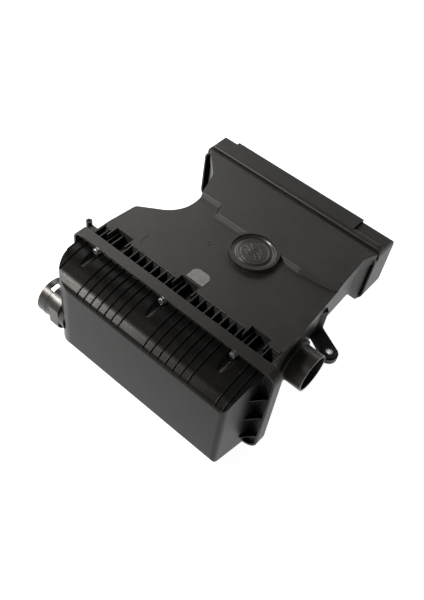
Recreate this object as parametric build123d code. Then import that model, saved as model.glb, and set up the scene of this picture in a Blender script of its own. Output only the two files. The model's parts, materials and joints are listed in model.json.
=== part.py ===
from build123d import *
import math
import os

os.makedirs("parts", exist_ok=True)

# Engine air filter housing, millimetres, +Z up.
# X runs along the joint between cover and body, Y runs rearward through the body.
# Origin: on the axis of the middle cover screw, level with the screw heads.

# ---- overall sizes
SCREW_PITCH = 115.0        # between neighbouring cover screws
JOINT_HEIGHT = 168.0       # top of the joint collar to its underside
BODY_LENGTH = 256.0        # joint face to the rear weld
COVER_DEPTH = 60.0         # joint face to the cover's front face
CAP_DEPTH = 40.0           # rear weld to the back of the cap

# ---- walls, clearances and edge radii
WALL = 2.5
RIB = 1.8
FINE_RIB = 1.4
GAP = 0.3                  # between the cover, the filter, the screws and the body
FIT = 0.6                  # a tongue in its slot
OVERRUN = 6.0              # how far a cut runs past the part

# ---- joint collar
OVER_LEFT = 43.0           # collar beyond the left screw
OVER_RIGHT = 63.0          # collar beyond the right screw
JOINT_Y = 6.0              # seal face of the collar
RIM_FRONT = -2.0           # rim that shrouds the cover's flange
RIM_CLEAR = 0.6
COLLAR_TOP = 8.0
COLLAR_DEPTH = 14.0
COLLAR_SKIN = 3.0
COLLAR_FACE = 4.5
COLLAR_RADIUS = 13.0
COLLAR_RADIUS_LOW = 22.0
BAND_TOP = 23.0            # collar top down to the filter opening
BAND_SIDE = 20.5
BAND_LOW = 14.0
OPEN_RADIUS = 6.0
SEAL_REACH = 7.0           # seal groove beyond the opening
SEAL_GROOVE = 2.5

# ---- filter
FILTER_DEPTH = 34.0
FILTER_CLEAR = 2.4
FRAME_WALL = 4.0
LIP_THICK = 2.2
PLEAT_PITCH = 5.5
PAPER = 0.8
MESH_BAR = 1.2
MESH_COLUMNS = 10
MESH_ROWS = 4

# ---- body shells
SKIRT_LOW = -6.0           # weld line between upper and lower shell
PLATE_TOP = 5.0
STEP_HEIGHT = 6.0
STEP_SLOPE = 38.0
LIP_OUT = 1.2
TROUGH_FRONT = 12.0        # flat floor of the trough behind the collar
TROUGH_RAMP = 10.0
TROUGH_RIB_TOP = 3.8
TROUGH_PITCH = 12.2
TROUGH_OFFSET = 27.0
RIBS_BETWEEN = 7
PAN_BEHIND = 7.0           # full depth kept behind the filter
PAN_RAMP = 20.0
PAN_UNDER = 5.8            # pan floor below the outlet
DUCT_SLOPE = 9.0           # fall of the duct floor toward the rear
DUCT_LOW = -39.0
REAR_LOW = -80.0
REAR_HIGH = 8.0
REAR_FLANGE = 6.0
REAR_OUT_LEFT = 7.0
REAR_OUT_RIGHT = 2.0
CORNER = 14.0
WAIST = 55.0               # depth of the left waist
EDGE_RIDGE = 5.0           # width of the rolled ridge on the right
SEAM = 1.0                 # shells start behind the collar and end before the cap
STEP_REAR = 0.668          # front edge of the raised part, share of the length
STEP_JOG = 0.6015          # the same behind the badge
STEP_JOG_LEFT = 82.0       # jog to the left of the badge

# ---- rear cap
CAP_SHOULDER = 10.0
CAP_RIDGE = 14.0
RIDGE_DEPTH = 12.0
CAP_ROUND = 5.0
BLOCK_LEFT = 29.0
BLOCK_RIGHT = 52.0
BLOCK_TOP = 14.8

# ---- badge, label and pads on the plate
BADGE_X = 34.0
BADGE_AT = 0.54            # share of the body length
BADGE_RADIUS = 34.5
BADGE_RING = 4.0
BADGE_RISE = 1.4
DISH_DEPTH = 2.6
DISC_GAP = 0.4
DISC_THICK = 1.4
WAVE_PITCH = 6.5
WAVE_HIGH = 1.6
MARK_X = -20.0             # small moulded ring on the plate
MARK_AT = 0.434
MARK_RADIUS = 4.0
PLATE_RIDGE = 1.5
PAD_W = 27.0
PAD_L = 26.0
PAD_BEHIND = 18.0          # pad centre behind the trough
PAD_STEP = 6.0
PAD_ROUND = 8.0
PAD_RISE = 0.4
PAD_SHIFT = (17.0, 10.0, 3.0)

# ---- tubes
OUTLET_OD = 54.0
OUTLET_BEHIND = 4.3        # tube behind the filter
OUTLET_UNDER = 8.2         # tube below the weld line
OUTLET_REST = 14.0         # full chamber behind the tube
OUTLET_SINK = 9.0          # tube end inside the side wall
OUTLET_REACH = 30.5        # beyond the body's side
INLET_FRONT = 0.5          # tube behind the cover's face
INLET_REAR = 4.5           # tube ahead of the collar
INLET_LIFT = 48.0          # tube axis above the collar's underside
INLET_REACH = 27.0         # beyond the cover's end wall
TUBE_WALL = 2.5
TUBE_COLLAR = 4.0
COLLAR_LENGTH = 3.5
ROOT_STEP = 0.5            # root of the inlet tube is this much thinner
INLET_LAND = 14.5          # full-size length at the mouth, for the hose
SLOT_LENGTH = 8.0
SLOT_WIDTH = 14.0
SLOT_FROM_MOUTH = 8.0
SLOT_SHIFT = 3.0
TRUMPET_FLARE = 4.0
TRUMPET_DEPTH = 14.0

# ---- mounting lug, post and peg
LUG_OUT = 26.0             # eye beyond the body's side
LUG_BEHIND = 3.6           # eye behind the end of the chamber
LUG_UNDER = 6.0            # lug below the duct floor
LUG_THICK = 8.0
LUG_RADIUS = 12.5
GROMMET_WAIST = 7.6
GROMMET_FLANGE = 9.6
GROMMET_LIP = 1.6
SLEEVE_OD = 10.0
SLEEVE_BORE = 6.6
SLEEVE_PROUD = 0.4
WEB_THICK = 4.0
POST_OUT = 17.0            # post beyond the body's left side
POST_BEHIND = 11.0
POST_ARM = 5.0
POST_RADIUS = 4.3
POST_TOP = 6.5
POST_LOW = -11.0
POST_BORE = 3.4
POST_DEPTH = 11.0
PEG_X = 20.0
PEG_AT = 0.766             # share of the body length
PEG_RADIUS = 6.0
PEG_LENGTH = 22.0
PEG_SINK = 6.0
ISOLATOR_WALL = 3.5
ISOLATOR_LENGTH = 14.0
ISOLATOR_LIP = 2.0

# ---- cover
COVER_SKIN = 2.5
COVER_FLANGE = 3.0
BEAD = 1.4
COVER_LEFT_ROUND = 40.0
COVER_RIGHT_ROUND = 8.0
COVER_DRAFT = 7.0
COVER_PITCH = 12.0
COVER_RIB_OFFSET = 21.5
COVER_RIB_RISE = 1.6
COVER_TUCK = 1.4           # cover wall inside the edge of its flange
COVER_LEFT_OUT = 8.0       # cover beyond the body's left side
COVER_FALL = 6.5           # rise of the cover's underside toward its face
SCOOP = 8.5
SCOOP_LENGTH = 27.0
GUSSET_SHARES = (0.29, 0.55, 0.82)
GUSSET_REACH = 16.0
TONGUE_HALF = 11.0
TONGUE_THICK = 2.4
TONGUE_LIFT = 3.8          # tongue underside above the collar's underside
DRAIN_RADIUS = 7.0
DRAIN_X = 35.0
DRAIN_AT = 0.57             # share of the cover depth
DRAIN_BORE = 1.5
DRAIN_NECK = 4.5

# ---- screws and inserts
SCREW_R = 2.5
SCREW_CLEAR = 0.3
SHANK = 11.0
HEAD_AF = 8.0
HEAD_HIGH = 7.0
FLANGE_R = 4.6
FLANGE_T = 1.0
SLOT_W = 1.2
SLOT_D = 1.2
SLOT_TURN = 35.0
INSERT_R = 3.8
INSERT_LENGTH = 6.0
BOSS_R = 5.6
RAIL_HALF = 3.8
RAIL_TOP = -1.0
RAIL_LENGTH = 29.0
POCKET_LEFT = 4.0
POCKET_RIGHT = 22.0
WASHER_R = 4.4
WASHER_T = 0.8

# ---- sizes that follow
SCREWS = [-SCREW_PITCH, 0.0, SCREW_PITCH]
JX0 = -SCREW_PITCH - OVER_LEFT
JX1 = SCREW_PITCH + OVER_RIGHT
JZ1 = COLLAR_TOP
JZ0 = COLLAR_TOP - JOINT_HEIGHT
OX0 = JX0 + BAND_SIDE
OX1 = JX1 - BAND_SIDE
OZ1 = JZ1 - BAND_TOP
OZ0 = JZ0 + BAND_LOW
BX0 = OX0 - WALL
BX1 = OX1 + WALL
REAR_X0 = BX0 - REAR_OUT_LEFT
REAR_X1 = BX1 - REAR_OUT_RIGHT
HIGH = PLATE_TOP + STEP_HEIGHT
PLATE_Y = COLLAR_DEPTH + TROUGH_FRONT + TROUGH_RAMP
PAD_Y = PLATE_Y + PAD_BEHIND
BADGE_Y = BADGE_AT * BODY_LENGTH
PEG_Y = PEG_AT * BODY_LENGTH
CAP_Y = BODY_LENGTH + 2.0
CAP_BACK = CAP_Y + CAP_DEPTH
FACE_Y = -COVER_DEPTH
CX0 = BX0 - COVER_LEFT_OUT
CX1 = BX1
FLANGE_INSET = COLLAR_SKIN + RIM_CLEAR
COVER_LOW = JZ0 + FLANGE_INSET + COVER_TUCK
OUTLET_Y = JOINT_Y + FILTER_DEPTH + OUTLET_BEHIND + OUTLET_OD / 2
OUTLET_Z = SKIRT_LOW - OUTLET_UNDER - OUTLET_OD / 2
PAN_SHALLOW = OUTLET_Z - OUTLET_OD / 2 - PAN_UNDER
CHAMBER_END = OUTLET_Y + OUTLET_OD / 2 + OUTLET_REST
DRAIN_Y = -DRAIN_AT * COVER_DEPTH
INLET_OD = COVER_DEPTH - INLET_FRONT - INLET_REAR
INLET_Y = -INLET_REAR - INLET_OD / 2
INLET_Z = JZ0 + INLET_LIFT
OUTLET_MOUTH = BX1 + OUTLET_REACH
INLET_MOUTH = CX0 - INLET_REACH
FLANGE_BACK = JOINT_Y - GAP
FLANGE_FRONT = FLANGE_BACK - COVER_FLANGE
TONGUES = (-SCREW_PITCH * 0.7, SCREW_PITCH * 0.1, SCREW_PITCH * 0.9)
GUSSET_LEVELS = [JZ1 - JOINT_HEIGHT * share for share in GUSSET_SHARES]
LUG_X = BX1 + LUG_OUT
LUG_Y = CHAMBER_END + LUG_BEHIND
LUG_TOP = DUCT_LOW - LUG_UNDER
POST_X = BX0 - POST_OUT
POST_Y = COLLAR_DEPTH + POST_BEHIND


# ---------------------------------------------------------------- drawing helpers
def rounded_face(corners, inset=0.0):
    """Closed outline of (u, v, radius) corners, anticlockwise, moved inward by inset."""
    count = len(corners)
    moved = []
    for i in range(count):
        pu, pv, _ = corners[i - 1]
        u, v, radius = corners[i]
        nu, nv, _ = corners[(i + 1) % count]
        a = Vector(u - pu, v - pv).normalized()
        b = Vector(nu - u, nv - v).normalized()
        turn = a.X * b.Y - a.Y * b.X
        half = 1.0 + a.X * b.X + a.Y * b.Y
        shift = Vector(-a.Y - b.Y, a.X + b.X) * (inset / half)
        side = 1.0 if turn > 0 else -1.0
        new_radius = max(radius - side * inset, 0.0) if radius > 0 else 0.0
        moved.append((Vector(u, v) + shift, a, b, new_radius, turn))
    ends = []
    for point, a, b, radius, turn in moved:
        if radius < 0.05 or abs(turn) < 1e-6:
            ends.append((point, point, None))
            continue
        angle = math.acos(max(-1.0, min(1.0, a.X * b.X + a.Y * b.Y)))
        reach = radius * math.tan(angle / 2)
        start = point - a * reach
        stop = point + b * reach
        sagitta = radius / math.cos(angle / 2) - radius
        bisector = (b - a).normalized()
        ends.append((start, stop, point + bisector * sagitta))
    edges = []
    for i in range(count):
        start, stop, middle = ends[i]
        if middle is not None:
            edges.append(ThreePointArc(start, middle, stop))
        following = ends[(i + 1) % count][0]
        if (following - stop).length > 1e-4:
            edges.append(Line(stop, following))
    return make_face(Wire(edges))


def window(x0, x1, z0, z1, radius=0.0, low_radius=None):
    """Rounded rectangle in X and Z."""
    low = radius if low_radius is None else low_radius
    corners = [(x0, z0, low), (x1, z0, low), (x1, z1, radius), (x0, z1, radius)]
    return rounded_face(corners)


def along_y(face, y0, y1):
    return extrude(Plane.XZ.offset(-y0) * face, -(y1 - y0))


def along_x(corners, x0, x1, inset=0.0):
    """Outline in Y and Z carried from x0 to x1."""
    return extrude(Plane.YZ.offset(x0) * rounded_face(corners, inset), x1 - x0)


def along_z(face, z0, z1):
    return Pos(0, 0, z0) * extrude(face, z1 - z0)


def block(x0, x1, y0, y1, z0, z1):
    return Pos((x0 + x1) / 2, (y0 + y1) / 2, (z0 + z1) / 2) * Box(x1 - x0, y1 - y0, z1 - z0)


def rod_x(y, z, radius, x0, x1):
    return Pos((x0 + x1) / 2, y, z) * Rot(0, 90, 0) * Cylinder(radius, x1 - x0)


def rod_y(x, z, radius, y0, y1):
    return Pos(x, (y0 + y1) / 2, z) * Rot(90, 0, 0) * Cylinder(radius, y1 - y0)


def rod_z(x, y, radius, z0, z1):
    return Pos(x, y, (z0 + z1) / 2) * Cylinder(radius, z1 - z0)


# ---------------------------------------------------------------- shared outlines
def plan_corners(beyond):
    """Body seen from above: straight sides, a waist on the left, flares at the rear."""
    length = BODY_LENGTH
    return [
        (BX0, COLLAR_DEPTH - beyond, 0.0),
        (BX1, COLLAR_DEPTH - beyond, 0.0),
        (BX1, 0.17 * length, 90.0),
        (BX1 - 12.0, 0.905 * length, 14.0),
        (REAR_X1 - 2.0, length + beyond, 0.0),
        (REAR_X0 + 6.0, length + beyond, 0.0),
        (BX0 + 39.0, 0.836 * length, 35.0),
        (BX0 + WAIST, 0.656 * length, 60.0),
        (BX0 + WAIST, 0.50 * length, 52.0),
        (BX0 + 4.0, 0.357 * length, 8.0),
        (BX0, 0.17 * length, 60.0),
    ]


def plan_face(inset, beyond=0.0):
    """Plan outline with its sides moved in; beyond runs it past the front and rear."""
    return rounded_face(plan_corners(inset + beyond), inset)


def pan_corners(beyond=0.0):
    """Lower shell seen from the side: deep pan, shallow duct, drop at the rear."""
    flat = JOINT_Y + FILTER_DEPTH + PAN_BEHIND
    low = OZ0 - WALL
    front = COLLAR_DEPTH - beyond
    rear = BODY_LENGTH + beyond
    return [
        (front, low, 0.0),
        (flat, low, 9.0),
        (flat + PAN_RAMP, PAN_SHALLOW, 10.0),
        (CHAMBER_END, PAN_SHALLOW, 8.0),
        (CHAMBER_END + 13.0, DUCT_LOW, 8.0),
        (0.86 * BODY_LENGTH, DUCT_LOW - DUCT_SLOPE, 20.0),
        (0.965 * BODY_LENGTH, REAR_LOW, 6.0),
        (rear, REAR_LOW, 0.0),
        (rear, SKIRT_LOW + beyond, 0.0),
        (front, SKIRT_LOW + beyond, 0.0),
    ]


def pan_void():
    """Space inside the lower shell, run out past its open front, top and rear."""
    void = along_x(pan_corners(WALL + OVERRUN), BX0 - 40, BX1 + 40, WALL)
    return void & along_z(plan_face(LIP_OUT + WALL, OVERRUN), OZ0 - 1, SKIRT_LOW + 1)


def pan_solid():
    side = along_x(pan_corners(), BX0 - 40.0, BX1 + 40.0)
    plan = along_z(plan_face(LIP_OUT), OZ0 - 2 * WALL, SKIRT_LOW)
    return side & plan


def rear_outline(inset, top):
    corners = [
        (REAR_X0, REAR_LOW - 2.0, CORNER),
        (REAR_X1, REAR_LOW - 2.0, CORNER),
        (REAR_X1, top, CORNER),
        (REAR_X0, top, CORNER),
    ]
    return rounded_face(corners, inset)


def opening(grow=0.0):
    return window(OX0 - grow, OX1 + grow, OZ0 - grow, OZ1 + grow, OPEN_RADIUS + max(grow, 0.0))


# ---------------------------------------------------------------- body, joint collar
def collar_window(inset):
    """Outline of the collar from the front, moved in by inset."""
    return window(JX0 + inset, JX1 - inset, JZ0 + inset, JZ1 - inset,
                  COLLAR_RADIUS - inset, COLLAR_RADIUS_LOW - inset)


def filter_collar():
    """Hollow frame round the filter opening: shroud rim, seal groove, slots, bosses."""
    back = JOINT_Y + COLLAR_FACE
    frame = along_y(collar_window(0.0), RIM_FRONT, COLLAR_DEPTH)
    frame -= along_y(collar_window(COLLAR_SKIN), RIM_FRONT - 1, JOINT_Y)
    channel = along_y(collar_window(COLLAR_SKIN), back, COLLAR_DEPTH + 1)
    channel -= along_y(opening(WALL), back - 1, COLLAR_DEPTH + 2)
    frame -= channel
    for x in SCREWS:
        frame += rod_y(x, 0, BOSS_R, back - 0.5, COLLAR_DEPTH - 0.5)
    frame -= along_y(opening(), JOINT_Y - 1, COLLAR_DEPTH + 1)
    frame -= along_y(opening(SEAL_REACH), JOINT_Y - 1, JOINT_Y + SEAL_GROOVE)
    for x in SCREWS:
        frame -= rod_y(x, 0, INSERT_R, JOINT_Y + 1, JOINT_Y + 1 + INSERT_LENGTH)
        frame -= rod_y(x, 0, SCREW_R + SCREW_CLEAR, JOINT_Y - 1, COLLAR_DEPTH)
    for x in TONGUES:
        low = JZ0 + TONGUE_LIFT - FIT / 2
        frame -= block(x - TONGUE_HALF - FIT, x + TONGUE_HALF + FIT, JOINT_Y - 1, back + 1,
                       low, low + TONGUE_THICK + FIT)
    return frame


def threaded_inserts():
    """Three brass inserts pressed into the collar's bosses."""
    pieces = []
    for x in SCREWS:
        insert = rod_y(x, 0, INSERT_R, JOINT_Y + 1, JOINT_Y + 1 + INSERT_LENGTH)
        insert -= rod_y(x, 0, SCREW_R + SCREW_CLEAR, JOINT_Y, COLLAR_DEPTH + 1)
        pieces.append(insert)
    return Compound(children=pieces)


# ---------------------------------------------------------------- body, upper shell
def step_face(inset):
    """Raised rear part of the plate, with a jog in its front edge."""
    jog_x = BADGE_X - STEP_JOG_LEFT
    rear_edge = STEP_REAR * BODY_LENGTH
    jog_edge = STEP_JOG * BODY_LENGTH
    corners = [
        (BX0 - 30.0, rear_edge, 0.0),
        (jog_x - 6.0, rear_edge, 2.0),
        (jog_x, jog_edge, 2.0),
        (BADGE_X + 62.0, jog_edge, 8.0),
        (BX1 + 40.0, rear_edge + 1.0, 0.0),
        (BX1 + 40.0, BODY_LENGTH + 30.0, 0.0),
        (BX0 - 30.0, BODY_LENGTH + 30.0, 0.0),
    ]
    return rounded_face(corners, inset)


def trough_positions():
    """X of the thin ribs in the trough: seven after each screw, fewer at the ends."""
    places = []
    for x in SCREWS[:2]:
        for k in range(RIBS_BETWEEN):
            places.append(x + TROUGH_OFFSET + k * (SCREW_PITCH - 41.8) / (RIBS_BETWEEN - 1))
    places.append(SCREWS[0] - 14.0)
    places.append(SCREWS[2] + TROUGH_OFFSET)
    return places


def skirt_wall(low, high):
    """Side wall of the upper shell between two heights."""
    return along_z(plan_face(0.0), low, high) - along_z(plan_face(WALL, OVERRUN), low, high)


def trough():
    """Floor behind the collar with its end walls, thin ribs and the pockets at the screws."""
    y0 = COLLAR_DEPTH
    y1 = y0 + TROUGH_FRONT
    y2 = y1 + TROUGH_RAMP
    floor_top = OZ1 + WALL
    profile = [
        (y0, OZ1, 0.0),
        (y1 + 1.0, OZ1, 3.0),
        (y2 + 1.4, PLATE_TOP - WALL, 3.0),
        (y2 + 4.0, PLATE_TOP - WALL, 0.0),
        (y2 + 4.0, PLATE_TOP, 0.0),
        (y2, PLATE_TOP, 2.0),
        (y1, floor_top, 2.0),
        (y0, floor_top, 0.0),
    ]
    inner_x0 = BX0 + LIP_OUT + WALL + GAP
    inner_x1 = BX1 - LIP_OUT - WALL - GAP
    piece = along_x(profile, inner_x0, inner_x1)
    for wall_x, inner_x, side in ((BX0, inner_x0, 1.0), (BX1, inner_x1, -1.0)):
        near = min(wall_x, wall_x + side * CORNER)
        far = max(wall_x, wall_x + side * CORNER)
        piece += skirt_wall(SKIRT_LOW, PLATE_TOP) & block(near - 1, far, y0, y2 + 4, SKIRT_LOW, PLATE_TOP)
        near = min(wall_x + side, inner_x + side)
        far = max(wall_x + side, inner_x + side)
        piece += block(near, far, y0, y2 + 4, SKIRT_LOW, SKIRT_LOW + WALL)
        piece += block(near, far, y2 + 2, y2 + 4 + SEAM, PLATE_TOP - WALL, PLATE_TOP)
        near = min(inner_x, inner_x + side * RIB)
        far = max(inner_x, inner_x + side * RIB)
        piece += block(near, far, y0, y2 + 2, OZ1 + 1, SKIRT_LOW + WALL)
    rib = [
        (y0, OZ1 + 1.0, 0.0),
        (y1 + 0.5, OZ1 + 1.0, 0.0),
        (y2 + 1.0, PLATE_TOP - 1.0, 0.0),
        (y2 - 1.0, TROUGH_RIB_TOP, 0.0),
        (y0, TROUGH_RIB_TOP - 0.6, 0.0),
    ]
    for x in trough_positions():
        piece += along_x(rib, x - RIB / 2, x + RIB / 2)
    return piece


def screw_pocket(x, shrink, low, high):
    """Recess for the driver behind a screw, moved in by shrink."""
    x0 = x - RAIL_HALF - POCKET_LEFT + shrink
    x1 = x + POCKET_RIGHT - shrink
    y0 = COLLAR_DEPTH + TROUGH_FRONT
    y1 = COLLAR_DEPTH + RAIL_LENGTH + 1.0 - shrink
    return block(x0, x1, y0, y1, low, high)


def rails(x):
    """Two upright rails behind a screw."""
    y0 = COLLAR_DEPTH
    profile = [
        (y0, OZ1 + 1.0, 0.0),
        (y0 + RAIL_LENGTH, OZ1 + 1.0, 0.0),
        (y0 + RAIL_LENGTH, RAIL_TOP - 1.0, 0.0),
        (y0 + RAIL_LENGTH - 1.0, RAIL_TOP, 0.0),
        (y0, RAIL_TOP, 0.0),
    ]
    left = along_x(profile, x - RAIL_HALF - RIB / 2, x - RAIL_HALF + RIB / 2)
    right = along_x(profile, x + RAIL_HALF - RIB / 2, x + RAIL_HALF + RIB / 2)
    return left + right


def pad_face(x):
    """Smooth pad seen from above, with rounded rear corners."""
    front = PAD_Y - PAD_L / 2 + PAD_STEP
    rear = PAD_Y + PAD_L / 2
    corners = [
        (x - PAD_W / 2, front, 1.0),
        (x + PAD_W / 2, front, 1.0),
        (x + PAD_W / 2, rear, PAD_ROUND),
        (x - PAD_W / 2, rear, PAD_ROUND),
    ]
    return rounded_face(corners)


def edge_ridge(level, rise, y0, y1):
    """Rolled ridge along the right edge of the plate between two stations."""
    ridge = along_z(plan_face(0.0), level - 1, level + rise)
    ridge -= along_z(plan_face(EDGE_RIDGE), level - 2, level + rise + 1)
    return ridge & block(0, BX1 + EDGE_RIDGE, y0, y1, level - 1, level + rise)


def upper_shell():
    """Top plate with trough, ribs, raised rear, badge dish, skirt and left post."""
    rear = BODY_LENGTH - SEAM
    under = PLATE_TOP - WALL
    shell = along_z(plan_face(0.0), under, PLATE_TOP) + skirt_wall(SKIRT_LOW, PLATE_TOP)
    raised = Pos(0, 0, PLATE_TOP - 1) * extrude(step_face(-1.0), STEP_HEIGHT + 1, taper=STEP_SLOPE)
    raised &= along_z(plan_face(0.0), PLATE_TOP - 1, HIGH)
    cavity = Pos(0, 0, under) * extrude(step_face(WALL - 1), STEP_HEIGHT, taper=STEP_SLOPE)
    cavity &= along_z(plan_face(WALL, OVERRUN), SKIRT_LOW, HIGH - WALL)
    shell += raised
    shell -= cavity
    shell -= block(BX0 - 1, BX1 + 1, COLLAR_DEPTH - 1, PLATE_Y + 3, under - FIT, PLATE_TOP + 1)
    shell += trough()
    for x in SCREWS:
        shell += screw_pocket(x, -RIB, OZ1, PLATE_TOP)
        shell -= screw_pocket(x, 0.0, OZ1 + WALL, PLATE_TOP + 1)
        shell += rails(x)
    # badge dish
    dish_low = HIGH - DISH_DEPTH - WALL
    dish = rod_z(BADGE_X, BADGE_Y, BADGE_RADIUS, dish_low, HIGH + BADGE_RISE)
    dish -= rod_z(BADGE_X, BADGE_Y, BADGE_RADIUS - BADGE_RING, HIGH - DISH_DEPTH, HIGH + 5)
    wall = rod_z(BADGE_X, BADGE_Y, BADGE_RADIUS, under, HIGH)
    wall -= rod_z(BADGE_X, BADGE_Y, BADGE_RADIUS - WALL, under - 1, HIGH + 1)
    shell -= rod_z(BADGE_X, BADGE_Y, BADGE_RADIUS - 0.5, under - 1, HIGH + 5)
    shell += dish
    shell += wall
    for x, shift in ((SCREWS[0], PAD_SHIFT[0]), (SCREWS[2], PAD_SHIFT[2])):
        shell += along_z(pad_face(x + shift), PLATE_TOP - 1, PLATE_TOP + PAD_RISE)
    step_y = STEP_REAR * BODY_LENGTH
    shell += edge_ridge(HIGH, PLATE_RIDGE, step_y + 5, rear - REAR_FLANGE)
    shell += edge_ridge(PLATE_TOP, PLATE_RIDGE, PLATE_Y + 3, step_y - 3)
    shell += rod_z(MARK_X, MARK_AT * BODY_LENGTH, MARK_RADIUS, PLATE_TOP - 1, PLATE_TOP + PAD_RISE)
    shell -= rod_z(MARK_X, MARK_AT * BODY_LENGTH, MARK_RADIUS - 1, PLATE_TOP, PLATE_TOP + 1)
    # upper part of the rear weld flange
    flange = along_y(rear_outline(0.0, REAR_HIGH), BODY_LENGTH - REAR_FLANGE + 2, CAP_Y)
    flange -= along_y(rear_outline(WALL, REAR_HIGH), 0, CAP_Y + 1)
    flange &= block(REAR_X0 - 1, REAR_X1 + 1, 0, CAP_Y + 1, SKIRT_LOW, HIGH)
    shell &= block(REAR_X0 - WAIST, REAR_X1 + WAIST, 0, rear, OZ1 - 1, HIGH + 5)
    shell += flange
    # lug post on the left
    shell += block(POST_X, BX0 + 1, POST_Y - POST_ARM / 2, POST_Y + POST_ARM / 2,
                   SKIRT_LOW + 0.01, SKIRT_LOW + POST_ARM + 1)
    shell += rod_z(POST_X, POST_Y, POST_RADIUS, POST_LOW, POST_TOP)
    shell -= rod_z(POST_X, POST_Y, POST_BORE / 2, POST_TOP - POST_DEPTH, POST_TOP + 1)
    return shell


def badge_disc():
    """Plain round disc with two rings and three wavy air lines in relief."""
    radius = BADGE_RADIUS - BADGE_RING - DISC_GAP
    base = HIGH - DISH_DEPTH
    disc = rod_z(BADGE_X, BADGE_Y, radius, base, base + DISC_THICK)
    for outer in (radius, radius * 0.72):
        ring = rod_z(BADGE_X, BADGE_Y, outer, base + 1, base + 2 * DISC_THICK)
        ring -= rod_z(BADGE_X, BADGE_Y, outer - RIB, base, base + 3 * DISC_THICK)
        disc += ring
    for row in (-1, 0, 1):
        half = radius * (0.5 if row == 0 else 0.42)
        points = []
        for k in range(9):
            u = -half + 2 * half * k / 8
            swing = WAVE_HIGH * math.sin(1.5 * math.pi * u / half)
            points.append((BADGE_X + u, BADGE_Y + row * WAVE_PITCH + swing))
        upper = Spline(*[(x, y + 1.0) for x, y in points])
        lower = Spline(*[(x, y - 1.0) for x, y in points])
        wave = make_face(Wire([upper, Line(upper @ 1, lower @ 1), lower, Line(lower @ 0, upper @ 0)]))
        disc += along_z(wave, base + 1, base + 1.8 * DISC_THICK)
    return disc


def spec_label():
    """Blank label laid on the plate behind the middle screw."""
    return along_z(pad_face(SCREWS[1] + PAD_SHIFT[1]), PLATE_TOP, PLATE_TOP + PAD_RISE)


# ---------------------------------------------------------------- body, lower shell
def lug_plate(inset=0.0):
    """Arm in plan from the body's side out to the lug eye."""
    corners = [
        (BX1 - CORNER, LUG_Y + 8.0, 0.0),
        (BX1 + 3.0, LUG_Y - 1.0, 12.0),
        (LUG_X - 8.0, LUG_Y - 9.6, 0.0),
        (LUG_X + 4.0, LUG_Y + 11.8, 0.0),
        (BX1 + 1.0, LUG_Y + 26.0, 3.0),
        (BX1 - CORNER, LUG_Y + 36.0, 0.0),
    ]
    return rounded_face(corners, inset)


def lower_shell():
    """Pan and duct, with the outlet hole, mounting lug, rear flange and peg."""
    solid = pan_solid()
    void = pan_void()
    shell = solid - void
    flange = along_y(rear_outline(0.0, REAR_HIGH), BODY_LENGTH - REAR_FLANGE + 2, CAP_Y)
    flange &= block(REAR_X0 - 1, REAR_X1 + 1, 0, CAP_Y + 1, REAR_LOW - 3, SKIRT_LOW)
    shell &= block(REAR_X0 - WAIST, REAR_X1 + WAIST, 0, BODY_LENGTH - SEAM, OZ0 - CORNER, SKIRT_LOW)
    shell += flange
    shell -= along_y(rear_outline(WALL, REAR_HIGH), BODY_LENGTH - REAR_FLANGE + 2, CAP_Y + 1)
    # lug arm, eye, buttress and curved gusset
    arm = along_z(lug_plate(), LUG_TOP - WEB_THICK, LUG_TOP)
    arm += rod_z(LUG_X, LUG_Y, LUG_RADIUS, LUG_TOP - LUG_THICK, LUG_TOP)
    buttress = [
        (BX1 - CORNER, LUG_Y + 4.0, 0.0),
        (BX1 - 1.0, LUG_Y + 24.0, 1.5),
        (BX1 - CORNER, LUG_Y + 36.0, 0.0),
    ]
    arm += along_z(rounded_face(buttress), LUG_TOP - 1, SKIRT_LOW - 1)
    gusset = along_z(lug_plate(), LUG_TOP - 1, LUG_TOP + 3)
    gusset -= along_z(lug_plate(RIB), LUG_TOP - 2, LUG_TOP + 4)
    gusset &= block(BX1 - CORNER, LUG_X - 9, LUG_Y - CORNER, LUG_Y + 8, LUG_TOP - 1, LUG_TOP + 3)
    arm += gusset
    arm -= rod_z(LUG_X, LUG_Y, GROMMET_WAIST, LUG_TOP - LUG_THICK - 1, LUG_TOP + 4)
    arm -= void
    shell += arm
    # outlet hole
    shell -= rod_x(OUTLET_Y, OUTLET_Z, OUTLET_OD / 2, BX1 - CORNER, BX1 + CORNER)
    # stiffening ribs on the outside of the pan ramp
    flat = JOINT_Y + FILTER_DEPTH + PAN_BEHIND
    for k in range(5):
        x = BX0 + 40 + k * (BX1 - BX0 - 80) / 4
        rib = [
            (flat - 2.0, OZ0 - WALL + 0.5, 0.0),
            (flat + 6.0, OZ0 - WALL + 2.0, 0.0),
            (flat + PAN_RAMP + 10.0, PAN_SHALLOW - 6.0, 0.0),
            (flat + PAN_RAMP + 10.0, PAN_SHALLOW + 1.0, 0.0),
            (flat + PAN_RAMP, PAN_SHALLOW + 0.5, 0.0),
        ]
        shell += along_x(rib, x - RIB / 2, x + RIB / 2) - void
    # peg under the duct
    top = DUCT_LOW - PEG_SINK
    peg = rod_z(PEG_X, PEG_Y, PEG_RADIUS, top - PEG_LENGTH, DUCT_LOW)
    peg += rod_z(PEG_X, PEG_Y, PEG_RADIUS + 4, top - 3, DUCT_LOW)
    shell += peg - void
    return shell


def lug_grommet():
    """Rubber grommet gripping the lug eye."""
    low = LUG_TOP - LUG_THICK
    ring = rod_z(LUG_X, LUG_Y, GROMMET_WAIST, low, LUG_TOP)
    ring += rod_z(LUG_X, LUG_Y, GROMMET_FLANGE, LUG_TOP, LUG_TOP + GROMMET_LIP)
    ring += rod_z(LUG_X, LUG_Y, GROMMET_FLANGE, low - GROMMET_LIP, low)
    ring -= rod_z(LUG_X, LUG_Y, SLEEVE_OD / 2, low - 5, LUG_TOP + 5)
    return ring


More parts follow.
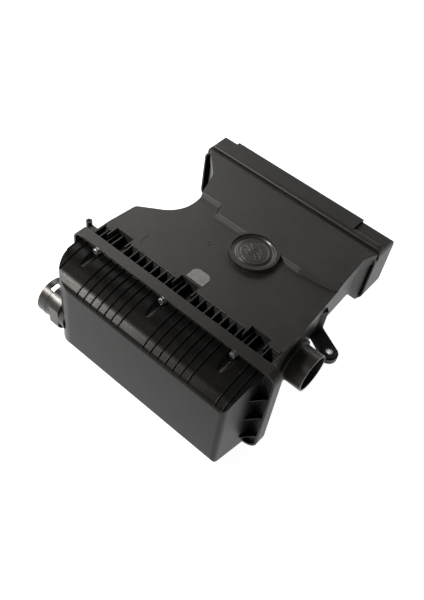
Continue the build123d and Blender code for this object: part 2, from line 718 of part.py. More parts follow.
def lug_sleeve():
    """Steel spacer tube through the grommet."""
    low = LUG_TOP - LUG_THICK - GROMMET_LIP - SLEEVE_PROUD
    high = LUG_TOP + GROMMET_LIP + SLEEVE_PROUD
    tube = rod_z(LUG_X, LUG_Y, SLEEVE_OD / 2, low, high)
    tube -= rod_z(LUG_X, LUG_Y, SLEEVE_BORE / 2, low - 1, high + 1)
    return tube


def peg_isolator():
    """Rubber sleeve on the peg under the duct."""
    high = DUCT_LOW - PEG_SINK - 3.0
    low = high - ISOLATOR_LENGTH
    sleeve = rod_z(PEG_X, PEG_Y, PEG_RADIUS + ISOLATOR_WALL, low, high)
    sleeve += rod_z(PEG_X, PEG_Y, PEG_RADIUS + ISOLATOR_WALL + ISOLATOR_LIP, high - 3, high)
    sleeve -= rod_z(PEG_X, PEG_Y, PEG_RADIUS, low - 1, high + 1)
    return sleeve


def outlet_spigot():
    """Tube for the hose to the engine, with a collar welded to the body's side."""
    radius = OUTLET_OD / 2
    tube = rod_x(OUTLET_Y, OUTLET_Z, radius, BX1 - OUTLET_SINK, OUTLET_MOUTH)
    flange = rod_x(OUTLET_Y, OUTLET_Z, radius + TUBE_COLLAR, BX1 - OUTLET_SINK, BX1 + COLLAR_LENGTH)
    flange -= pan_solid()
    tube += flange
    tube -= rod_x(OUTLET_Y, OUTLET_Z, radius - TUBE_WALL, BX1 - 20, OUTLET_MOUTH + 1)
    return tube


def outlet_trumpet():
    """Flared inner mouth of the outlet, inside the body."""
    radius = OUTLET_OD / 2 - TUBE_WALL
    wide = radius + TRUMPET_FLARE
    bend = radius + 0.3 * TRUMPET_FLARE
    x1 = BX1 - OUTLET_SINK
    inside = ThreePointArc((radius, 0), (bend, 0.72 * TRUMPET_DEPTH), (wide, TRUMPET_DEPTH))
    outside = ThreePointArc((wide + 0.6, TRUMPET_DEPTH - WALL), (bend + WALL, 0.6 * TRUMPET_DEPTH),
                            (radius + WALL, 0))
    rim = Line(inside @ 1, outside @ 0)
    root = Line(outside @ 1, inside @ 0)
    profile = make_face(Wire([inside, rim, outside, root]))
    section = Plane(origin=(x1, OUTLET_Y, OUTLET_Z), x_dir=(0, 0, 1), z_dir=(0, -1, 0)) * profile
    return revolve(section, Axis((x1, OUTLET_Y, OUTLET_Z), (1, 0, 0)))


# ---------------------------------------------------------------- body, rear cap
def cap_solid(inset):
    """Cap as a solid: flange, rounded ridge, lower shoulders and raised middle."""
    low = REAR_LOW - 2.0
    ridge_y = CAP_Y + 3.0
    shoulder_y = ridge_y + RIDGE_DEPTH
    side = [
        (CAP_Y, low, 0.0),
        (CAP_BACK, low, CAP_ROUND),
        (CAP_BACK, CAP_SHOULDER, CAP_ROUND),
        (shoulder_y, CAP_SHOULDER, 3.0),
        (shoulder_y - 2.0, CAP_RIDGE, 3.5),
        (ridge_y, CAP_RIDGE, 3.5),
        (ridge_y, REAR_HIGH, 0.0),
        (CAP_Y, REAR_HIGH, 0.0),
    ]
    middle = [
        (ridge_y + 3.0, 0.0, 0.0),
        (CAP_BACK, 0.0, 0.0),
        (CAP_BACK, BLOCK_TOP, CAP_ROUND),
        (ridge_y + 3.0, BLOCK_TOP, 3.5),
    ]
    solid = along_x(side, REAR_X0, REAR_X1, inset)
    solid += along_x(middle, REAR_X0 + BLOCK_LEFT, REAR_X1 - BLOCK_RIGHT, inset)
    outline = [
        (REAR_X0, low, CORNER),
        (REAR_X1, low, CORNER),
        (REAR_X1, CAP_RIDGE + 1.0, CORNER),
        (REAR_X0, CAP_RIDGE + 1.0, CORNER),
    ]
    return solid & along_y(rounded_face(outline, inset), CAP_Y, CAP_BACK)


def rear_cap():
    """Box closing the back of the body: weld flange, rounded ridge, stepped top."""
    mouth = along_y(rear_outline(WALL, REAR_HIGH), CAP_Y - 1, CAP_Y + WALL + 1.5)
    return cap_solid(0.0) - cap_solid(WALL) - mouth


# ---------------------------------------------------------------- cover
def cover_plan():
    return [
        (CX0, JOINT_Y, 0.0),
        (CX0, FACE_Y, COVER_LEFT_ROUND),
        (CX1 - COVER_DRAFT, FACE_Y, COVER_RIGHT_ROUND),
        (CX1, JOINT_Y, 0.0),
    ]


def cover_side():
    """Cover seen from the side: nearly flat top rolling over to an upright face."""
    depth = COVER_DEPTH
    return [
        (JOINT_Y, -3.0, 0.0),
        (-0.42 * depth, -6.5, 70.0),
        (-0.80 * depth, -15.5, 26.0),
        (-depth, -24.0, 9.0),
        (-depth, COVER_LOW + COVER_FALL, 9.0),
        (JOINT_Y, COVER_LOW, 0.0),
    ]


def cover_body(inset, rise=0.0):
    """Solid shape of the cover; inset hollows it, rise lifts its skin for the ribs."""
    side = along_x(cover_side(), CX0 - 10, CX1 + 10, inset - rise)
    plan = along_z(rounded_face(cover_plan(), inset), JZ0 - 10, JZ1)
    return side & plan & along_y(collar_window(FLANGE_INSET + inset), FACE_Y - 5, FLANGE_BACK)


def cover_rib_positions():
    places = []
    step = (SCREW_PITCH - 2 * COVER_RIB_OFFSET) / (RIBS_BETWEEN - 1)
    for x in SCREWS[:2]:
        for k in range(RIBS_BETWEEN):
            places.append(x + COVER_RIB_OFFSET + k * step)
    for k in range(2):
        places.append(SCREWS[0] - COVER_RIB_OFFSET - k * step)
        places.append(SCREWS[2] + COVER_RIB_OFFSET + k * step)
    return places


def gusset(x_in, x_out, z):
    """Thin plate bracing an end wall of the cover against the flange."""
    side = 1.0 if x_out > x_in else -1.0
    corners = [
        (x_in, FLANGE_BACK - 1.0),
        (x_out, FLANGE_BACK - 1.0),
        (x_out, FLANGE_FRONT - FIT),
        (x_in + side * 2.5, -GUSSET_REACH),
        (x_in, -GUSSET_REACH),
    ]
    plate = make_face(Polyline(*corners, close=True))
    return along_z(plate, z - FINE_RIB / 2, z + FINE_RIB / 2)


def front_cover():
    """Dirty side cover: hollow shell, joint flange, ribs, scoops, gussets, tongues."""
    shell = cover_body(0.0)
    ribs = cover_body(0.0, COVER_RIB_RISE)
    slices = None
    for x in cover_rib_positions():
        piece = block(x - FINE_RIB / 2, x + FINE_RIB / 2, FACE_Y - 1.0, FLANGE_BACK, -24.0, JZ1)
        slices = piece if slices is None else slices + piece
    shell += ribs & slices
    hollow = cover_body(COVER_SKIN)
    for x in SCREWS:
        scoop = rod_y(x, 0, SCOOP, -SCOOP_LENGTH, FLANGE_FRONT)
        scoop += Pos(x, -SCOOP_LENGTH, 0) * Sphere(SCOOP)
        guard = rod_y(x, 0, SCOOP + COVER_SKIN, -SCOOP_LENGTH, FLANGE_BACK)
        guard += Pos(x, -SCOOP_LENGTH, 0) * Sphere(SCOOP + COVER_SKIN)
        shell -= scoop
        hollow -= guard
    inset = FLANGE_INSET
    shell += along_y(collar_window(inset), FLANGE_FRONT, FLANGE_BACK)
    bead = along_y(collar_window(inset), FLANGE_FRONT - BEAD, FLANGE_BACK - 1)
    bead -= along_y(collar_window(inset + BEAD), FLANGE_FRONT - 2 * BEAD, FLANGE_BACK)
    for x in SCREWS:
        bead -= rod_y(x, 0, SCOOP, FLANGE_FRONT - 20, FLANGE_FRONT)
    shell += bead
    shell -= hollow & block(CX0, CX1, FACE_Y, FLANGE_FRONT, JZ0, JZ1)
    shell -= along_y(opening(), FLANGE_FRONT - 1, FLANGE_BACK + 1)
    for z in GUSSET_LEVELS:
        shell += gusset(CX1 - 4.0, JX1 - inset - 1.0, z) - hollow
    shell += gusset(CX0 + 1.0, JX0 + inset + 0.5, GUSSET_LEVELS[0]) - hollow
    for x in TONGUES:
        low = JZ0 + TONGUE_LIFT
        shell += block(x - TONGUE_HALF, x + TONGUE_HALF, FLANGE_BACK - 1, JOINT_Y + COLLAR_FACE - GAP,
                       low, low + TONGUE_THICK)
    for x in SCREWS:
        shell -= rod_y(x, 0, SCREW_R + SCREW_CLEAR, FLANGE_FRONT - 6, JOINT_Y + 1)
    # inlet hole in the left end wall and drain hole underneath
    shell -= rod_x(INLET_Y, INLET_Z, INLET_OD / 2 - ROOT_STEP, CX0 - 4, CX0 + 28)
    shell -= rod_z(DRAIN_X, DRAIN_Y, DRAIN_NECK, COVER_LOW - 3, COVER_LOW + 12)
    return shell


def inlet_spigot():
    """Intake tube through the cover's left end wall, with a slot near its mouth."""
    radius = INLET_OD / 2
    tube = rod_x(INLET_Y, INLET_Z, radius, INLET_MOUTH, INLET_MOUTH + INLET_LAND)
    tube += rod_x(INLET_Y, INLET_Z, radius - ROOT_STEP, INLET_MOUTH + 1, CX0 + 24)
    collar = rod_x(INLET_Y, INLET_Z, radius + TUBE_COLLAR, CX0 - COLLAR_LENGTH, CX0 + 14)
    collar &= block(CX0 - 10, CX0 + 24, FACE_Y + 1, FLANGE_FRONT - BEAD - 0.5, JZ0 + 8, 0)
    tube += collar - cover_body(0.0)
    tube -= cover_body(COVER_SKIN)
    tube -= rod_x(INLET_Y, INLET_Z, radius - TUBE_WALL, INLET_MOUTH - 1, CX0 + 30)
    x0 = INLET_MOUTH + SLOT_FROM_MOUTH
    y0 = INLET_Y - SLOT_SHIFT - SLOT_WIDTH / 2
    tube -= block(x0, x0 + SLOT_LENGTH, y0, y0 + SLOT_WIDTH, INLET_Z + 10, INLET_Z + radius + 2)
    return tube


def drain_valve():
    """Rubber water drain pushed into the underside of the cover."""
    skin = drain_level()
    plug = rod_z(DRAIN_X, DRAIN_Y, DRAIN_NECK, skin - 1.5, skin + COVER_SKIN + 3.0)
    plug += rod_z(DRAIN_X, DRAIN_Y, DRAIN_RADIUS, skin + COVER_SKIN + 1.2, skin + COVER_SKIN + 4.0)
    plug -= rod_z(DRAIN_X, DRAIN_Y, DRAIN_BORE, skin - 4, skin + COVER_SKIN + 6)
    return plug


def drain_level():
    """Height of the cover's sloping underside at the drain."""
    return COVER_LOW + COVER_FALL * (JOINT_Y - DRAIN_Y) / (COVER_DEPTH + JOINT_Y)


# ---------------------------------------------------------------- filter
def filter_frame():
    """Moulded frame: side walls and the sealing lip that sits in the groove."""
    outer = FILTER_CLEAR
    inner = FILTER_CLEAR + FRAME_WALL
    body = along_y(window(OX0 + outer, OX1 - outer, OZ0 + outer, OZ1 - outer, 4.0),
                   JOINT_Y, JOINT_Y + FILTER_DEPTH)
    body += along_y(opening(SEAL_REACH - 2 * GAP), JOINT_Y, JOINT_Y + LIP_THICK)
    body -= along_y(window(OX0 + inner, OX1 - inner, OZ0 + inner, OZ1 - inner),
                    JOINT_Y - 1, JOINT_Y + FILTER_DEPTH + 1)
    return body


def filter_media():
    """Pleated paper, folded to and fro along X."""
    inner = FILTER_CLEAR + FRAME_WALL
    x0 = OX0 + inner
    x1 = OX1 - inner
    count = int((x1 - x0) // PLEAT_PITCH)
    pitch = (x1 - x0) / count
    y_near = JOINT_Y + 3.0
    y_far = JOINT_Y + FILTER_DEPTH - 3.0
    front = []
    back = []
    for k in range(2 * count + 1):
        x = x0 + k * pitch / 2
        y = y_near if k % 2 == 0 else y_far - PAPER * 2
        front.append((x, y))
        back.append((x, y + PAPER * 2))
    sheet = make_face(Polyline(*(front + back[::-1]), close=True))
    return along_z(sheet, OZ0 + inner, OZ1 - inner)


def filter_mesh():
    """Support grid on the clean side of the pleats."""
    inner = FILTER_CLEAR + FRAME_WALL
    x0 = OX0 + inner
    x1 = OX1 - inner
    z0 = OZ0 + inner
    z1 = OZ1 - inner
    y0 = JOINT_Y + FILTER_DEPTH - 2.0
    y1 = y0 + MESH_BAR
    grid = None
    for k in range(1, MESH_COLUMNS):
        x = x0 + k * (x1 - x0) / MESH_COLUMNS
        bar = block(x - MESH_BAR / 2, x + MESH_BAR / 2, y0, y1, z0, z1)
        grid = bar if grid is None else grid + bar
    for k in range(1, MESH_ROWS):
        z = z0 + k * (z1 - z0) / MESH_ROWS
        grid += block(x0, x1, y0, y1, z - MESH_BAR / 2, z + MESH_BAR / 2)
    return grid


# ---------------------------------------------------------------- screws
def cover_screw(x):
    """Hexagon flange screw with a driver slot, point rearward."""
    seat = FLANGE_FRONT - WASHER_T
    screw = rod_y(x, 0, SCREW_R, seat, seat + SHANK)
    screw += rod_y(x, 0, FLANGE_R, seat - FLANGE_T, seat)
    hexagon = Pos(x, 0) * RegularPolygon(HEAD_AF / 2, 6, major_radius=False)
    head = extrude(Plane.XZ.offset(FLANGE_T - seat) * hexagon, HEAD_HIGH - FLANGE_T)
    head &= rod_y(x, 0, HEAD_AF * 0.56, seat - HEAD_HIGH, seat)
    screw += head
    top = seat - HEAD_HIGH
    slot = block(-HEAD_AF, HEAD_AF, top - 1, top + SLOT_D, -SLOT_W / 2, SLOT_W / 2)
    screw -= Pos(x, 0, 0) * Rot(0, SLOT_TURN, 0) * slot
    tip = screw.edges().filter_by(GeomType.CIRCLE).sort_by(Axis.Y)[-1]
    return chamfer(tip, 0.8)


def screw_washers():
    """Captive washers under the three screw heads, carried by the cover."""
    pieces = []
    for x in SCREWS:
        y1 = FLANGE_FRONT
        washer = rod_y(x, 0, WASHER_R, y1 - WASHER_T + GAP, y1)
        washer -= rod_y(x, 0, SCREW_R + SCREW_CLEAR, y1 - 3, y1 + 1)
        pieces.append(washer)
    return Compound(children=pieces)


# ---------------------------------------------------------------- export
SCREW_NAMES = ("cover_screw_left", "cover_screw_middle", "cover_screw_right")

PARTS = {
    "filter_collar": filter_collar,
    "threaded_inserts": threaded_inserts,
    "upper_shell": upper_shell,
    "badge_disc": badge_disc,
    "spec_label": spec_label,
    "lower_shell": lower_shell,
    "lug_grommet": lug_grommet,
    "lug_sleeve": lug_sleeve,
    "peg_isolator": peg_isolator,
    "outlet_spigot": outlet_spigot,
    "outlet_trumpet": outlet_trumpet,
    "rear_cap": rear_cap,
    "front_cover": front_cover,
    "inlet_spigot": inlet_spigot,
    "drain_valve": drain_valve,
    "screw_washers": screw_washers,
    "filter_frame": filter_frame,
    "filter_media": filter_media,
    "filter_mesh": filter_mesh,
}

for node, make in PARTS.items():
    shape = make()
    export_step(shape, "parts/" + node + ".step")
    print(node, round(shape.volume / 1000, 2), "cm3", len(shape.solids()), "solids")
for node, place in zip(SCREW_NAMES, SCREWS):
    export_step(cover_screw(place), "parts/" + node + ".step")
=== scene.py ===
# %% [markdown]
# # The looks of an engine air filter housing
#
# The object is a black moulded box that sits over an engine: a ribbed front cover with an
# intake tube, a wide flat duct with an outlet tube, and a chamber at the rear. A paper
# filter stands in the joint. The shapes with a real size come from the CAD model, which is
# loaded as a fixed frame. This lesson adds what CAD leaves out: grained plastic, rounded
# edges that catch the light, folded paper, rubber, knurled brass and screw threads.

import bmesh
import bpy
import json
import numpy as np
from mathutils import Matrix, Vector

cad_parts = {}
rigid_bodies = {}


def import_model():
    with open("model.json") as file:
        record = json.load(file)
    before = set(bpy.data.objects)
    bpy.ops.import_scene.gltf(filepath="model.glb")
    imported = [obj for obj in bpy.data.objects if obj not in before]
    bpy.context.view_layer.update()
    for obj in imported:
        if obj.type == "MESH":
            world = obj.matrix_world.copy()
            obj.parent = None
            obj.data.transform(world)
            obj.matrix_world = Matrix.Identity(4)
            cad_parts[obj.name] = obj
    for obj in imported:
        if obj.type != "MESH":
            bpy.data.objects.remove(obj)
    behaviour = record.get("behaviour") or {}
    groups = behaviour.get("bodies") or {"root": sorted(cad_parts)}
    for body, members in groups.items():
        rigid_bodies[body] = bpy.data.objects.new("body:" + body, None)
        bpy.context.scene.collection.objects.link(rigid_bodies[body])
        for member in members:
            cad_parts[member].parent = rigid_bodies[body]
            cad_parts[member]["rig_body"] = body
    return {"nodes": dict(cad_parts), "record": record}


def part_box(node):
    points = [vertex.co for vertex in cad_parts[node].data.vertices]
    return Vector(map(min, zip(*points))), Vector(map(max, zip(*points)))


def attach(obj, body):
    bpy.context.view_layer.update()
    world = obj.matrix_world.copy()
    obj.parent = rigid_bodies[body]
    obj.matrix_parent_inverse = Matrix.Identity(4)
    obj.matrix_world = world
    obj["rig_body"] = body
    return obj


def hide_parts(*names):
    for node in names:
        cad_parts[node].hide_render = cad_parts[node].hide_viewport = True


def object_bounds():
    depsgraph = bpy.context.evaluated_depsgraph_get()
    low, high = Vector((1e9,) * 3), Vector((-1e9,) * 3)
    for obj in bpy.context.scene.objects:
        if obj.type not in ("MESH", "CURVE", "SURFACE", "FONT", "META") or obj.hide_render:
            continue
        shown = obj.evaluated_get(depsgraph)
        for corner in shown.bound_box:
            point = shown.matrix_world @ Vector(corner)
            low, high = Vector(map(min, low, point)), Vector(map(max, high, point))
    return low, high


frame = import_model()
cad_low, cad_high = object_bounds()
MM = 0.001
TAU = 2 * np.pi
print("box in mm:", [round(v / MM, 1) for v in cad_low], [round(v / MM, 1) for v in cad_high])

# %% [markdown]
# ## Camera
#
# The housing is looked down on from the front right, as if it lay on a bench, with the
# picture turned a little to the side. A camera can be aimed with a tracking constraint, but
# three axes written out are exact: where its right side, its top and its back point.

# %% Camera
RIGHT = Vector((0.7577, 0.6436, 0.1083))
UP = Vector((-0.5524, 0.5450, 0.6307))
PLACE = Vector((0.3535, -0.4374, 0.6864))
LENS = 42.9


def aim(right, up, place):
    """Camera matrix: columns right, up and back, with back = right x up."""
    right = right.normalized()
    back = right.cross(up).normalized()
    turn = Matrix((right, back.cross(right), back)).transposed()
    return Matrix.Translation(place) @ turn.to_4x4()


lens = bpy.data.cameras.new("camera")
lens.lens = LENS
camera = bpy.data.objects.new("camera", lens)
camera.matrix_world = aim(RIGHT, UP, PLACE)
bpy.context.scene.collection.objects.link(camera)
bpy.context.scene.camera = camera
print("camera", round((PLACE - (cad_low + cad_high) / 2).length, 3), "m from the middle")

# %% [markdown]
# ## Shader maths
#
# Moulded plastic looks real through small changes of colour, roughness and relief. Each is
# a sum of noises and masks. Math nodes placed one by one are hard to read, so a small class
# wraps a socket and lets + - * / add the nodes. Other nodes come from one method.


# %% Values that add nodes
class Value:
    """One output socket of a shader; an expression on it adds Math nodes."""

    def __init__(self, finish, socket):
        self.finish = finish
        self.socket = socket

    def maths(self, operation, first, second=0.0):
        """A Math node of that operation."""
        return self.finish.node("ShaderNodeMath", {"operation": operation}, {0: first, 1: second})

    def __add__(self, other):
        return self.maths("ADD", self, other)

    def __radd__(self, other):
        return self.maths("ADD", other, self)

    def __sub__(self, other):
        return self.maths("SUBTRACT", self, other)

    def __rsub__(self, other):
        return self.maths("SUBTRACT", other, self)

    def __mul__(self, other):
        return self.maths("MULTIPLY", self, other)

    def __rmul__(self, other):
        return self.maths("MULTIPLY", other, self)

    def __truediv__(self, other):
        return self.maths("DIVIDE", self, other)

    def sine(self):
        """Sine of the value, in radians."""
        return self.maths("SINE", self)

    def size(self):
        """The value without its sign."""
        return self.maths("ABSOLUTE", self)

    def held(self, low=0.0, high=1.0):
        """The value kept between low and high."""
        return self.maths("MINIMUM", self.maths("MAXIMUM", self, low), high)

    def above(self, level, width):
        """0 below level, 1 above level + width, straight between."""
        return ((self - level) / width).held()


class Finish:
    """A material under way: its nodes, its Object coordinates and its shader."""

    def __init__(self, name):
        self.material = bpy.data.materials.new(name)
        self.material.use_nodes = True
        self.tree = self.material.node_tree
        self.shader = self.tree.nodes["Principled BSDF"]
        self.place = self.node("ShaderNodeTexCoord", output="Object")

    def node(self, kind, settings=None, inputs=None, output=0):
        """Adds a node: settings first, then values or links of its sockets."""
        made = self.tree.nodes.new(kind)
        for key, value in (settings or {}).items():
            setattr(made, key, value)
        for key, value in (inputs or {}).items():
            if isinstance(value, Value):
                self.tree.links.new(value.socket, made.inputs[key])
            else:
                made.inputs[key].default_value = value
        return Value(self, made.outputs[output])

    def noise(self, size, detail=3.0, stretch=(1.0, 1.0, 1.0)):
        """Soft noise from 0 to 1 whose spots are about size metres across."""
        where = self.node("ShaderNodeMapping", None, {"Vector": self.place, "Scale": stretch})
        return self.node("ShaderNodeTexNoise", None,
                         {"Vector": where, "Scale": 1.0 / size, "Detail": detail})

    def cells(self, size):
        """Distance to the nearest of many scattered points about size metres apart."""
        return self.node("ShaderNodeTexVoronoi", None, {"Vector": self.place, "Scale": 1.0 / size})

    def axis(self, name):
        """One of the object coordinates: X, Y or Z."""
        return self.node("ShaderNodeSeparateXYZ", None, {0: self.place}, output=name)

    def blend(self, mask, first, second):
        """Colour first where mask is 0, second where it is 1."""
        return self.node("ShaderNodeMix", {"data_type": "RGBA"}, {0: mask, 6: first, 7: second}, 2)

    def rounded(self, radius):
        """Normals that turn round sharp edges, as if they had that radius."""
        return self.node("ShaderNodeBevel", {"samples": 6}, {"Radius": radius})

    def edge(self, normal):
        """1 on an edge that the rounding has turned, 0 on the flat."""
        flat = self.node("ShaderNodeNewGeometry", output="Normal")
        along = self.node("ShaderNodeVectorMath", {"operation": "DOT_PRODUCT"},
                          {0: normal, 1: flat}, output="Value")
        return (1.0 - along).above(0.01, 0.12)

    def relief(self, height, depth, normal=None):
        """Bump of that depth in metres."""
        inputs = {"Height": height, "Distance": depth, "Strength": 1.0}
        if normal is not None:
            inputs["Normal"] = normal
        return self.node("ShaderNodeBump", None, inputs)

    def paint(self, **sockets):
        """Sets or links the shader's own sockets; _ stands for a space."""
        for key, value in sockets.items():
            socket = self.shader.inputs[key.replace("_", " ")]
            if isinstance(value, Value):
                self.tree.links.new(value.socket, socket)
            else:
                socket.default_value = value
        return self.material


def grey(level, warm=0.0):
    """A grey of that level, a little warmer or cooler."""
    return (level * (1 + warm), level, level * (1 - warm), 1.0)


print("shader helpers ready")

# %% [markdown]
# ## Black plastic
#
# The shells are moulded polypropylene: black, satin, with a spark-eroded grain of fine dots
# from the steel mould and faint flow clouds, and their edges are painted paler as a highlight.
# One function gives the five plastics, since they differ only in darkness, gloss and grain.
# WARM makes the black slightly brown, and GLOSS_TINT does the same to what the surface
# mirrors straight on.


# %% Moulded plastics
WARM = 0.07
GLOSS_TINT = (1.0, 0.95, 0.89, 1.0)


def plastic(name, dark, pale, rough, grain, depth, radius=0.7 * MM, level=0.32):
    """Black plastic: clouds of colour, fine dots in relief, rounded edges painted paler as a highlight.
    """
    finish = Finish(name)
    clouds = finish.noise(45 * MM, 4.0)
    dust = finish.noise(3 * MM, 5.0)
    dots = finish.noise(grain, 2.0)
    normal = finish.rounded(radius)
    # Painted highlight: the edges turned by the rounding, in patches, are the mask for a paler colour.
    bright_edge = finish.edge(normal) * (0.35 + 0.65 * finish.noise(9 * MM))
    mask = (0.55 * clouds + 0.30 * dust + 0.15 * dots).above(0.30, 0.45)
    skin = finish.blend(mask, grey(dark, WARM), grey(pale, WARM))
    # Painted highlight: the edges are painted paler, standing in for the light they catch.
    colour = finish.blend(bright_edge * 0.6, skin, grey(pale * 2.6, WARM))
    shine = rough + 0.16 * (dust - 0.5) + 0.10 * (clouds - 0.5) - 0.06 * bright_edge
    height = finish.relief(dots, depth, normal)
    return finish.paint(Base_Color=colour, Roughness=shine, Normal=height, IOR=1.49,
                        Specular_IOR_Level=level, Specular_Tint=GLOSS_TINT)


case_plastic = plastic("case plastic", 0.005, 0.012, 0.42, 0.9 * MM, 0.05 * MM)
cover_plastic = plastic("cover plastic", 0.002, 0.005, 0.31, 0.7 * MM, 0.008 * MM, 1.0 * MM, 0.12)
tube_plastic = plastic("tube plastic", 0.009, 0.018, 0.32, 0.8 * MM, 0.01 * MM, 0.5 * MM, 0.45)
mesh_plastic = plastic("mesh plastic", 0.020, 0.035, 0.50, 1.2 * MM, 0.04 * MM, 0.3 * MM)
badge_plastic = plastic("badge plastic", 0.012, 0.022, 0.30, 0.6 * MM, 0.006 * MM, 0.3 * MM, 0.6)
print("plastics:", 5)

# %% [markdown]
# ## Woven grain of the top plate
#
# The flat top has a fine diamond weave cut into its mould. Two families of sine waves at
# right angles, along x + y and x - y, give the threads, and the product of the waves tells
# which thread lies on top. It is both relief and a slight change of shade.

# %% Plate plastic
WEAVE = 4.2 * MM


def woven(name, dark, pale):
    """Plate plastic: a diamond weave in relief over the same clouds, with edges painted paler as a
    highlight.
    """
    finish = Finish(name)
    x = finish.axis("X")
    y = finish.axis("Y")
    warp = ((x + y) * (TAU / WEAVE)).sine()
    weft = ((x - y) * (TAU / WEAVE)).sine()
    thread = 0.5 + 0.5 * warp * weft
    clouds = finish.noise(60 * MM, 4.0)
    dust = finish.noise(2.2 * MM, 4.0)
    streaks = finish.noise(14 * MM, 4.0, (0.35, 2.2, 1.0))
    normal = finish.rounded(0.7 * MM)
    # Painted highlight: the edges turned by the rounding, in patches, are the mask for a paler colour.
    bright_edge = finish.edge(normal) * (0.3 + 0.7 * finish.noise(8 * MM))
    mask = (0.30 * clouds + 0.14 * dust + 0.18 * streaks + 0.50 * thread).above(0.30, 0.50)
    skin = finish.blend(mask, grey(dark, WARM), grey(pale, WARM))
    # Painted highlight: the edges are painted paler, standing in for the light they catch.
    colour = finish.blend(bright_edge * 0.5, skin, grey(pale * 2.0, WARM))
    shine = 0.36 + 0.14 * (dust - 0.5) + 0.12 * thread + 0.10 * (streaks - 0.5)
    height = finish.relief(0.85 * thread + 0.15 * dust, 0.22 * MM, normal)
    return finish.paint(Base_Color=colour, Roughness=shine, Normal=height, IOR=1.49,
                        Specular_IOR_Level=0.34, Specular_Tint=GLOSS_TINT)


plate_plastic = woven("plate plastic", 0.001, 0.020)
print("weave pitch", WEAVE / MM, "mm")

# %% [markdown]
# ## Rubber, foam, paper, film and metals
#
# The small pieces each need their own finish: dull rubber, a foam frame with open pores,
# cream paper with fibres, a silvery label film, brushed zinc on steel, and brass.


# %% Soft finishes
def rubber(name, dark, pale):
    """Dull rubber with fine bloom and a matt, slightly uneven skin."""
    finish = Finish(name)
    bloom = finish.noise(2.5 * MM, 5.0)
    skin = finish.noise(0.5 * MM, 3.0)
    colour = finish.blend(bloom.above(0.35, 0.4), grey(dark), grey(pale))
    return finish.paint(Base_Color=colour, Roughness=0.62 + 0.2 * (bloom - 0.5),
                        Normal=finish.relief(skin, 0.05 * MM, finish.rounded(0.4 * MM)))


def foam(name):
    """Moulded polyurethane: grey, matt, with small open pores whose shade is painted in near black."""
    finish = Finish(name)
    pores = finish.cells(0.9 * MM).above(0.25, 0.35)
    tone = finish.noise(6 * MM, 4.0)
    colour = finish.blend(tone.above(0.3, 0.4), grey(0.055), grey(0.10))
    # Painted shade: the pores are coloured near black for the shade inside them; the relief below is
    # real.
    colour = finish.blend(1.0 - pores, colour, grey(0.03))
    return finish.paint(Base_Color=colour, Roughness=0.75 + 0.15 * (tone - 0.5),
                        Normal=finish.relief(pores, 0.15 * MM))


def paper(name):
    """Resin treated filter paper: cream, with long fibres and a faint embossing."""
    finish = Finish(name)
    fibres = finish.noise(0.7 * MM, 6.0, (1.0, 1.0, 0.25))
    tone = finish.noise(12 * MM, 4.0)
    colour = finish.blend((0.5 * fibres + 0.5 * tone).above(0.35, 0.3),
                          (0.60, 0.50, 0.33, 1), (0.76, 0.70, 0.54, 1))
    return finish.paint(Base_Color=colour, Roughness=0.80 + 0.15 * (fibres - 0.5),
                        Normal=finish.relief(fibres, 0.08 * MM))


def film(name):
    """Label film: silver grey and slightly clouded, with a paler border left blank."""
    finish = Finish(name)
    x = finish.axis("X")
    y = finish.axis("Y")
    low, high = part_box("spec_label")
    middle = (low + high) / 2
    half = (high - low) / 2
    border = ((x - middle.x).size() / half.x).above(0.86, 0.02)
    border = (border + ((y - middle.y).size() / half.y).above(0.86, 0.02)).held()
    clouds = finish.noise(5 * MM, 5.0)
    tone = finish.blend(clouds.above(0.3, 0.4), grey(0.085, 0.04), grey(0.135, 0.04))
    colour = finish.blend(border * 0.5, tone, grey(0.15, 0.03))
    return finish.paint(Base_Color=colour, Roughness=0.38 + 0.2 * (clouds - 0.5),
                        Normal=finish.relief(finish.noise(1.5 * MM), 0.03 * MM, finish.rounded(0.3 * MM)))


soft_rubber = rubber("soft rubber", 0.010, 0.022)
filter_foam = foam("filter foam")
filter_paper = paper("filter paper")
label_film = film("label film")
print("soft finishes: 4")


# %% Metals
def metal(name, dark, pale, rough):
    """Plated metal: fine turning marks, dull patches and bright rubbed edges."""
    finish = Finish(name)
    marks = finish.noise(0.35 * MM, 4.0, (1.0, 0.2, 1.0))
    patches = finish.noise(2.5 * MM, 4.0)
    normal = finish.rounded(0.25 * MM)
    bright_edge = finish.edge(normal)
    colour = finish.blend(patches.above(0.3, 0.4), dark, pale)
    shine = rough + 0.18 * (patches - 0.5) + 0.10 * (marks - 0.5) - 0.05 * bright_edge
    return finish.paint(Base_Color=colour, Metallic=1.0, Roughness=shine,
                        Normal=finish.relief(marks, 0.015 * MM, normal))


plated_steel = metal("plated steel", (0.60, 0.60, 0.62, 1), (0.80, 0.80, 0.81, 1), 0.30)
insert_brass = metal("insert brass", (0.60, 0.42, 0.17, 1), (0.80, 0.62, 0.30, 1), 0.32)
print("metals: 2")

# %% [markdown]
# ## Dress the CAD pieces
#
# The record names a slot for each node, and each slot has one finish here. A CAD piece
# keeps its mesh and takes the finish of its slot.

# %% Assign the finishes
FINISHES = {
    "case_plastic": case_plastic,
    "plate_plastic": plate_plastic,
    "cover_plastic": cover_plastic,
    "tube_plastic": tube_plastic,
    "mesh_plastic": mesh_plastic,
    "badge_plastic": badge_plastic,
    "label_film": label_film,
    "filter_paper": filter_paper,
    "filter_foam": filter_foam,
    "soft_rubber": soft_rubber,
    "plated_steel": plated_steel,
    "insert_brass": insert_brass,
}
SLOT_OF = {part["node"]: part["material_slot"] for part in frame["record"]["subparts"]}


def dress(thing, slot):
    """Puts a slot's finish on every material slot of a piece."""
    if not thing.material_slots:
        thing.data.materials.append(FINISHES[slot])
    for place in thing.material_slots:
        place.material = FINISHES[slot]


